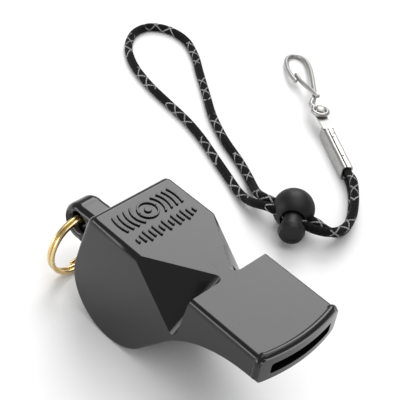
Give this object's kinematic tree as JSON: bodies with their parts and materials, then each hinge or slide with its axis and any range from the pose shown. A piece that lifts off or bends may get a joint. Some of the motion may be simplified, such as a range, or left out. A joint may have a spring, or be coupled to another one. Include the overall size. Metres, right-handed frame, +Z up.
{
  "type": "training whistle",
  "caption": "Pealess chambered training whistle with a round belly, notched facets and a flat mouthpiece, a split ring on its lug, and a looped cord lanyard with a cord lock and wire hook.",
  "frame": {"origin": "on the ground below the middle of the whistle and its split ring, leaving the lanyard out", "axes": "+X from the ring lug to the mouthpiece, +Y to the side where the lanyard lies, +Z up from the belly to the roof"},
  "size_m": [0.1052, 0.098, 0.0248],
  "materials": {
    "moulded_abs": "glossy black moulding",
    "satin_nylon": "satin black",
    "brass_wire": "polished",
    "nickel_plate": "bright nickel plate",
    "spring_wire": "drawn wire",
    "woven_cord": "fine woven black cord with grey tracer"
  },
  "bodies": {
    "whistle": {"whistle_body": "moulded_abs", "belly_plate": "moulded_abs", "chamber_core": "moulded_abs"},
    "ring": {"split_ring": "brass_wire"},
    "lanyard": {"lanyard_cord": "woven_cord", "crimp_clamp": "nickel_plate", "swivel_rivet": "nickel_plate"},
    "cord_lock": {"cord_lock_barrel": "satin_nylon", "cord_lock_spring": "spring_wire"},
    "plunger": {"cord_lock_plunger": "satin_nylon"},
    "hook": {"hook_wire": "nickel_plate"},
    "gate": {"hook_gate": "nickel_plate"}
  },
  "joints": [
    {"name": "ring_swing", "type": "hinge", "parent": "whistle", "child": "ring", "pos_m": [-0.0239, 0, 0.0115], "axis": [0, 1, 0], "range_deg": [-10, 100]},
    {"name": "lanyard_lift", "type": "slide", "parent": "whistle", "child": "lanyard", "axis": [0, 0, 1], "range_m": [0, 0.03]},
    {"name": "cord_lock_slide", "type": "slide", "parent": "lanyard", "child": "cord_lock", "axis": [0.9703, 0.2419, 0], "range_m": [-0.0005, 0.0008]},
    {"name": "plunger_press", "type": "slide", "parent": "cord_lock", "child": "plunger", "axis": [-0.6157, 0.788, 0], "range_m": [0, 0.0015], "stiffness_N_per_m": 300, "springref_m": -0.001},
    {"name": "hook_swivel", "type": "hinge", "parent": "lanyard", "child": "hook", "pos_m": [-0.02542, 0.07158, 0.00375], "axis": [-0.0958, 0.0725, 0.9928], "continuous": true},
    {"name": "gate_flex", "type": "hinge", "parent": "hook", "child": "gate", "pos_m": [-0.02875, 0.07486, 0.00418], "axis": [0.0958, -0.0725, -0.9928], "range_deg": [0, 8], "stiffness_Nm_per_rad": 0.02, "springref_deg": -2.86}
  ]
}
